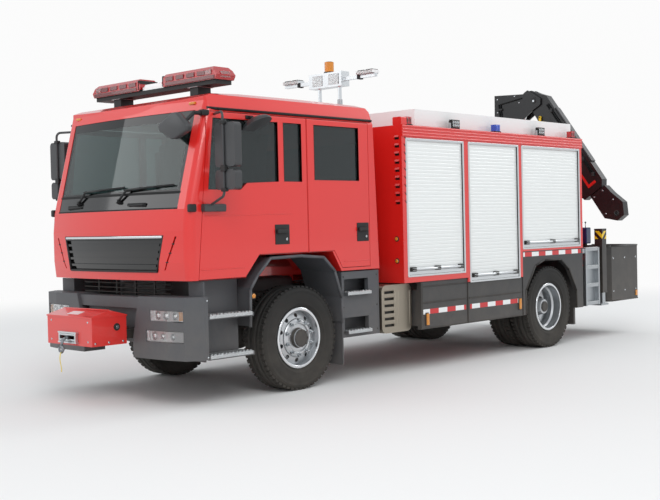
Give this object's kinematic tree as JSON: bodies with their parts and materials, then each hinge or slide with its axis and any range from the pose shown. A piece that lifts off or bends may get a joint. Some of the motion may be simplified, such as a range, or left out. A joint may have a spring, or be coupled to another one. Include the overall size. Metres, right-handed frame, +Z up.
{
  "type": "airport rescue truck with rear crane",
  "caption": "Airport rescue and fire truck: crew cab, hollow body with roller shutters, light mast, front winch, and a folding crane with stabilisers behind.",
  "frame": {"origin": "on the ground under the middle of the truck's length and width", "axes": "+X forward, +Y to the truck's left, +Z up"},
  "size_m": [8.865, 2.97, 3.59],
  "materials": {
    "red_paint": null,
    "dark_grey_plastic": null,
    "chassis_paint": null,
    "glass": null,
    "interior_fabric": null,
    "grille_black": null,
    "lamp_clear": null,
    "beacon_red": null,
    "aluminium": null,
    "shutter_aluminium": null,
    "tyre": null,
    "wheel_silver": null,
    "crane_black": null,
    "chrome_rod": null,
    "cast_iron": null,
    "mirror_black": null,
    "stabiliser_paint": null
  },
  "bodies": {
    "truck": {"frame_rails": "chassis_paint", "front_axle": "cast_iron", "rear_axle": "cast_iron", "engine_and_driveline": "cast_iron", "cab_shell": "red_paint", "cab_glass": "glass", "cab_interior": "interior_fabric", "grille": "grille_black", "bumper": "dark_grey_plastic", "front_lamps": "lamp_clear", "front_fenders": "dark_grey_plastic", "warning_lamps": "beacon_red", "body_shell": "red_paint", "roof_deck": "aluminium", "side_skirts": "dark_grey_plastic", "silencer_and_tank": "aluminium", "rear_ladders": "aluminium", "rear_lockers": "crane_black", "crane_base": "crane_black", "winch_box": "red_paint"},
    "steering_left": {"knuckle_left": "cast_iron"},
    "wheel_front_left": {"tyre_front_left": "tyre", "rim_front_left": "wheel_silver"},
    "wheels_rear_left": {"tyres_rear_left": "tyre", "rims_rear_left": "wheel_silver"},
    "front_door_left": {"door_front_left": "red_paint", "glass_front_left": "glass", "mirrors_left": "mirror_black"},
    "rear_door_left": {"door_rear_left": "red_paint", "glass_rear_left": "glass"},
    "steering_right": {"knuckle_right": "cast_iron"},
    "wheel_front_right": {"tyre_front_right": "tyre", "rim_front_right": "wheel_silver"},
    "wheels_rear_right": {"tyres_rear_right": "tyre", "rims_rear_right": "wheel_silver"},
    "front_door_right": {"door_front_right": "red_paint", "glass_front_right": "glass", "mirrors_right": "mirror_black"},
    "rear_door_right": {"door_rear_right": "red_paint", "glass_rear_right": "glass"},
    "roller_left_1": {"shutter_left_1": "shutter_aluminium"},
    "roller_left_2": {"shutter_left_2": "shutter_aluminium"},
    "roller_left_3": {"shutter_left_3": "shutter_aluminium"},
    "roller_right_1": {"shutter_right_1": "shutter_aluminium"},
    "roller_right_2": {"shutter_right_2": "shutter_aluminium"},
    "roller_right_3": {"shutter_right_3": "shutter_aluminium"},
    "lid": {"winch_lid": "red_paint"},
    "mast": {"mast_head": "aluminium"},
    "crane_column_turn": {"crane_column": "crane_black"},
    "boom_inner": {"inner_boom": "crane_black"},
    "boom_outer": {"outer_boom": "crane_black"},
    "boom_tip": {"boom_extension": "crane_black"},
    "lift_cylinder": {"luff_barrel": "crane_black"},
    "lift_piston": {"luff_rod": "chrome_rod"},
    "fold_cylinder": {"fold_barrel": "crane_black"},
    "fold_piston": {"fold_rod": "chrome_rod"},
    "outrigger_left": {"stabiliser_beam_left": "stabiliser_paint"},
    "jack_left": {"stabiliser_leg_left": "aluminium"},
    "outrigger_right": {"stabiliser_beam_right": "stabiliser_paint"},
    "jack_right": {"stabiliser_leg_right": "aluminium"}
  },
  "joints": [
    {"name": "steer_left", "type": "hinge", "parent": "truck", "child": "steering_left", "pos_m": [2.44, 0.8, 0.522], "axis": [0, 0, 1], "range_deg": [-35, 35]},
    {"name": "roll_front_left", "type": "hinge", "parent": "steering_left", "child": "wheel_front_left", "pos_m": [2.44, 0.95, 0.522], "axis": [0, 1, 0], "continuous": true},
    {"name": "roll_rear_left", "type": "hinge", "parent": "truck", "child": "wheels_rear_left", "pos_m": [-1.985, 0.925, 0.522], "axis": [0, 1, 0], "continuous": true},
    {"name": "open_front_door_left", "type": "hinge", "parent": "truck", "child": "front_door_left", "pos_m": [3.76, 1.128, 1.9], "axis": [0, 0, -1], "range_deg": [0, 70]},
    {"name": "open_rear_door_left", "type": "hinge", "parent": "truck", "child": "rear_door_left", "pos_m": [2.312, 1.128, 1.9], "axis": [0, 0, -1], "range_deg": [0, 75]},
    {"name": "steer_right", "type": "hinge", "parent": "truck", "child": "steering_right", "pos_m": [2.44, -0.8, 0.522], "axis": [0, 0, 1], "range_deg": [-35, 35]},
    {"name": "roll_front_right", "type": "hinge", "parent": "steering_right", "child": "wheel_front_right", "pos_m": [2.44, -0.95, 0.522], "axis": [0, 1, 0], "continuous": true},
    {"name": "roll_rear_right", "type": "hinge", "parent": "truck", "child": "wheels_rear_right", "pos_m": [-1.985, -0.925, 0.522], "axis": [0, 1, 0], "continuous": true},
    {"name": "open_front_door_right", "type": "hinge", "parent": "truck", "child": "front_door_right", "pos_m": [3.76, -1.128, 1.9], "axis": [0, 0, 1], "range_deg": [0, 70]},
    {"name": "open_rear_door_right", "type": "hinge", "parent": "truck", "child": "rear_door_right", "pos_m": [2.312, -1.128, 1.9], "axis": [0, 0, 1], "range_deg": [0, 75]},
    {"name": "raise_shutter_left_1", "type": "slide", "parent": "truck", "child": "roller_left_1", "axis": [0, 0, 1], "range_m": [0, 1.3], "deforming": ["shutter_left_1"]},
    {"name": "raise_shutter_left_2", "type": "slide", "parent": "truck", "child": "roller_left_2", "axis": [0, 0, 1], "range_m": [0, 1.42], "deforming": ["shutter_left_2"]},
    {"name": "raise_shutter_left_3", "type": "slide", "parent": "truck", "child": "roller_left_3", "axis": [0, 0, 1], "range_m": [0, 1.07], "deforming": ["shutter_left_3"]},
    {"name": "raise_shutter_right_1", "type": "slide", "parent": "truck", "child": "roller_right_1", "axis": [0, 0, 1], "range_m": [0, 1.3], "deforming": ["shutter_right_1"]},
    {"name": "raise_shutter_right_2", "type": "slide", "parent": "truck", "child": "roller_right_2", "axis": [0, 0, 1], "range_m": [0, 1.42], "deforming": ["shutter_right_2"]},
    {"name": "raise_shutter_right_3", "type": "slide", "parent": "truck", "child": "roller_right_3", "axis": [0, 0, 1], "range_m": [0, 1.07], "deforming": ["shutter_right_3"]},
    {"name": "open_winch_lid", "type": "hinge", "parent": "truck", "child": "lid", "pos_m": [4.014, 0, 0.837], "axis": [0, -1, 0], "range_deg": [0, 80]},
    {"name": "raise_mast", "type": "slide", "parent": "truck", "child": "mast", "axis": [0, 0, 1], "range_m": [0, 0.85]},
    {"name": "slew_crane", "type": "hinge", "parent": "truck", "child": "crane_column_turn", "pos_m": [-3.96, 0, 1.4], "axis": [0, 0, 1], "range_deg": [0, 180]},
    {"name": "lower_boom", "type": "hinge", "parent": "crane_column_turn", "child": "boom_inner", "pos_m": [-3.96, -0.56, 2.15], "axis": [-1, 0, 0], "range_deg": [0, 65]},
    {"name": "unfold_boom", "type": "hinge", "parent": "boom_inner", "child": "boom_outer", "pos_m": [-3.96, -0.14, 3.42], "axis": [1, 0, 0], "range_deg": [0, 125.01]},
    {"name": "extend_boom", "type": "slide", "parent": "boom_outer", "child": "boom_tip", "axis": [0, 0.5678, -0.8231], "range_m": [0, 0.9]},
    {"name": "swing_lift_cylinder", "type": "hinge", "parent": "crane_column_turn", "child": "lift_cylinder", "pos_m": [-3.96, 0.24, 1.47], "axis": [1, 0, 0], "range_deg": [0, 6.77]},
    {"name": "retract_lift_rod", "type": "slide", "parent": "lift_cylinder", "child": "lift_piston", "axis": [0, 0.4894, -0.8721], "range_m": [0, 0.40628]},
    {"name": "swing_fold_cylinder", "type": "hinge", "parent": "boom_inner", "child": "fold_cylinder", "pos_m": [-3.96, -0.68, 2.52], "axis": [-1, 0, 0], "range_deg": [0, 7.5]},
    {"name": "retract_fold_rod", "type": "slide", "parent": "fold_cylinder", "child": "fold_piston", "axis": [0, -0.4215, -0.9068], "range_m": [0, 0.18483]},
    {"name": "extend_outrigger_left", "type": "slide", "parent": "truck", "child": "outrigger_left", "axis": [0, 1, 0], "range_m": [0, 0.6]},
    {"name": "lower_jack_left", "type": "slide", "parent": "outrigger_left", "child": "jack_left", "axis": [0, 0, -1], "range_m": [0, 0.4]},
    {"name": "extend_outrigger_right", "type": "slide", "parent": "truck", "child": "outrigger_right", "axis": [0, -1, 0], "range_m": [0, 0.6]},
    {"name": "lower_jack_right", "type": "slide", "parent": "outrigger_right", "child": "jack_right", "axis": [0, 0, -1], "range_m": [0, 0.4]}
  ],
  "couplings": [
    {"joint": "steer_right", "follows": "steer_left", "ratio": 1},
    {"joint": "unfold_boom", "follows": "lower_boom", "ratio": 1.9231},
    {"joint": "swing_lift_cylinder", "follows": "lower_boom", "ratio": 0.10394},
    {"joint": "retract_lift_rod", "follows": "lower_boom", "m_per_rad": 0.35795},
    {"joint": "swing_fold_cylinder", "follows": "lower_boom", "ratio": 0.11521},
    {"joint": "retract_fold_rod", "follows": "lower_boom", "m_per_rad": 0.16274}
  ]
}
